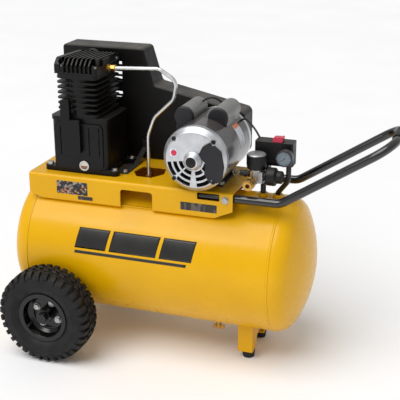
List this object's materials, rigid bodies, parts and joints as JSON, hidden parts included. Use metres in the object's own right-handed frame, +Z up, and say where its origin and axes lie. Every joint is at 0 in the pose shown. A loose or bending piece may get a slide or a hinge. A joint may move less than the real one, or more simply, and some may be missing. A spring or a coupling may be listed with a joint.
{
  "type": "air compressor",
  "caption": "Portable belt-driven air compressor: horizontal air tank on wheels with a piston pump, electric motor, belt guard, pressure controls and lifting handle.",
  "frame": {"origin": "on the floor, under the middle of the whole object", "axes": "+X from the wheels towards the handle, +Y towards the belt guard, +Z up"},
  "size_m": [1.023, 0.543, 0.773],
  "materials": {
    "tank_paint": "gloss yellow powder coat",
    "pump_paint": "satin black paint over cast ribs",
    "guard_plastic": "satin moulded black plastic",
    "tyre_rubber": "knobbed tyre rubber",
    "rim_paint": "gloss black paint",
    "zinc": "bright zinc plate",
    "steel": "bare machined steel",
    "foot_rubber": "moulded black rubber",
    "handle_paint": "satin black powder coat",
    "grip_rubber": "soft grip rubber",
    "bell_aluminium": "bare die-cast aluminium",
    "shell_paint": "dark grey enamel",
    "cap_grey": "grey capacitor housing",
    "black_plastic": "moulded black plastic",
    "tube_aluminium": "bright drawn aluminium tube",
    "brass": "machined brass",
    "knob_red": "red moulded plastic",
    "pipe_black": "black malleable iron pipe",
    "regulator_zinc": "die-cast zinc body",
    "gauge_black": "black steel case with a clear lens",
    "needle_paint": "red enamel",
    "belt_rubber": "V-belt rubber",
    "cable_rubber": "black cable sheath",
    "cast_iron": "grey cast iron",
    "laminations": "stacked electrical steel"
  },
  "bodies": {
    "frame": {"tank_barrel": "tank_paint", "tank_heads": "tank_paint", "tank_weldments": "tank_paint", "saddle": "tank_paint", "leg_bracket": "tank_paint", "axle_bolts": "zinc", "rubber_feet": "foot_rubber", "mounting_bolts": "zinc", "cap_screws": "steel", "handle_tube": "handle_paint", "handle_grip": "grip_rubber", "pump_crankcase": "pump_paint", "crankcase_cover": "pump_paint", "breather_box": "pump_paint", "oil_fittings": "zinc", "pump_cylinder": "pump_paint", "valve_plate": "pump_paint", "pump_head": "pump_paint", "intake_filter": "black_plastic", "shaft_bearings": "steel", "drive_belt": "belt_rubber", "belt_guard_inner": "guard_plastic", "belt_guard_outer": "guard_plastic", "guard_bracket": "pipe_black", "motor_shell": "shell_paint", "motor_end_bells": "bell_aluminium", "shaft_cap": "bell_aluminium", "stator": "laminations", "motor_base": "pipe_black", "terminal_cover": "black_plastic", "capacitor_covers": "cap_grey", "motor_cable": "cable_rubber", "discharge_tube": "tube_aluminium", "tube_fittings": "brass", "switch_base": "black_plastic", "switch_cover": "black_plastic", "manifold": "pipe_black", "regulator_body": "regulator_zinc", "air_filter_bowl": "black_plastic", "coupler_body": "brass", "tank_gauge": "gauge_black", "drain_valve_body": "brass"},
    "wheel_front": {"tyre_front": "tyre_rubber", "rim_front": "rim_paint", "hub_front": "zinc"},
    "wheel_back": {"tyre_back": "tyre_rubber", "rim_back": "rim_paint", "hub_back": "zinc"},
    "crank": {"crankshaft": "cast_iron", "flywheel": "cast_iron"},
    "piston_front": {"piston_front": "bell_aluminium"},
    "piston_rear": {"piston_rear": "bell_aluminium"},
    "motor_rotor": {"rotor": "laminations", "motor_pulley": "cast_iron"},
    "switch_knob": {"switch_knob": "knob_red"},
    "regulator_knob": {"regulator_knob": "black_plastic"},
    "coupler_sleeve": {"coupler_sleeve": "brass"},
    "safety_ring": {"safety_ring": "steel"},
    "gauge_needle": {"gauge_needle": "needle_paint"},
    "drain_handle": {"drain_handle": "brass"}
  },
  "joints": [
    {"name": "wheel_front_spin", "type": "hinge", "parent": "frame", "child": "wheel_front", "pos_m": [-0.3475, -0.229, 0.1275], "axis": [0, 1, 0], "continuous": true},
    {"name": "wheel_back_spin", "type": "hinge", "parent": "frame", "child": "wheel_back", "pos_m": [-0.3475, 0.229, 0.1275], "axis": [0, 1, 0], "continuous": true},
    {"name": "crank_spin", "type": "hinge", "parent": "frame", "child": "crank", "pos_m": [-0.3075, 0.143, 0.56], "axis": [0, 1, 0], "continuous": true},
    {"name": "motor_spin", "type": "hinge", "parent": "frame", "child": "motor_rotor", "pos_m": [0.0275, 0.143, 0.5585], "axis": [0, 1, 0], "continuous": true},
    {"name": "piston_front_slide", "type": "slide", "parent": "frame", "child": "piston_front", "axis": [0, 0, 1], "range_m": [-0.04, 0]},
    {"name": "piston_rear_slide", "type": "slide", "parent": "frame", "child": "piston_rear", "axis": [0, 0, 1], "range_m": [0, 0.04]},
    {"name": "switch_knob_pull", "type": "slide", "parent": "frame", "child": "switch_knob", "axis": [0, 0, 1], "range_m": [0, 0.007]},
    {"name": "regulator_knob_turn", "type": "hinge", "parent": "frame", "child": "regulator_knob", "pos_m": [0.1625, -0.06, 0.548], "axis": [0, 0, 1], "range_deg": [-540, 540]},
    {"name": "coupler_sleeve_slide", "type": "slide", "parent": "frame", "child": "coupler_sleeve", "axis": [0, 1, 0], "range_m": [0, 0.0035], "stiffness_N_per_m": 500},
    {"name": "safety_ring_pull", "type": "slide", "parent": "frame", "child": "safety_ring", "axis": [-1, 0, 0], "range_m": [0, 0.0035], "stiffness_N_per_m": 400},
    {"name": "gauge_needle_swing", "type": "hinge", "parent": "frame", "child": "gauge_needle", "pos_m": [0.2305, -0.056, 0.5565], "axis": [0, 1, 0], "range_deg": [0, 270], "stiffness_Nm_per_rad": 0.0005},
    {"name": "drain_handle_turn", "type": "hinge", "parent": "frame", "child": "drain_handle", "pos_m": [0.0495, 0, 0.04], "axis": [0, 0, 1], "range_deg": [0, 360]}
  ],
  "couplings": [
    {"joint": "motor_spin", "follows": "crank_spin", "ratio": 3.4375},
    {"joint": "piston_rear_slide", "follows": "piston_front_slide", "ratio": -1}
  ]
}
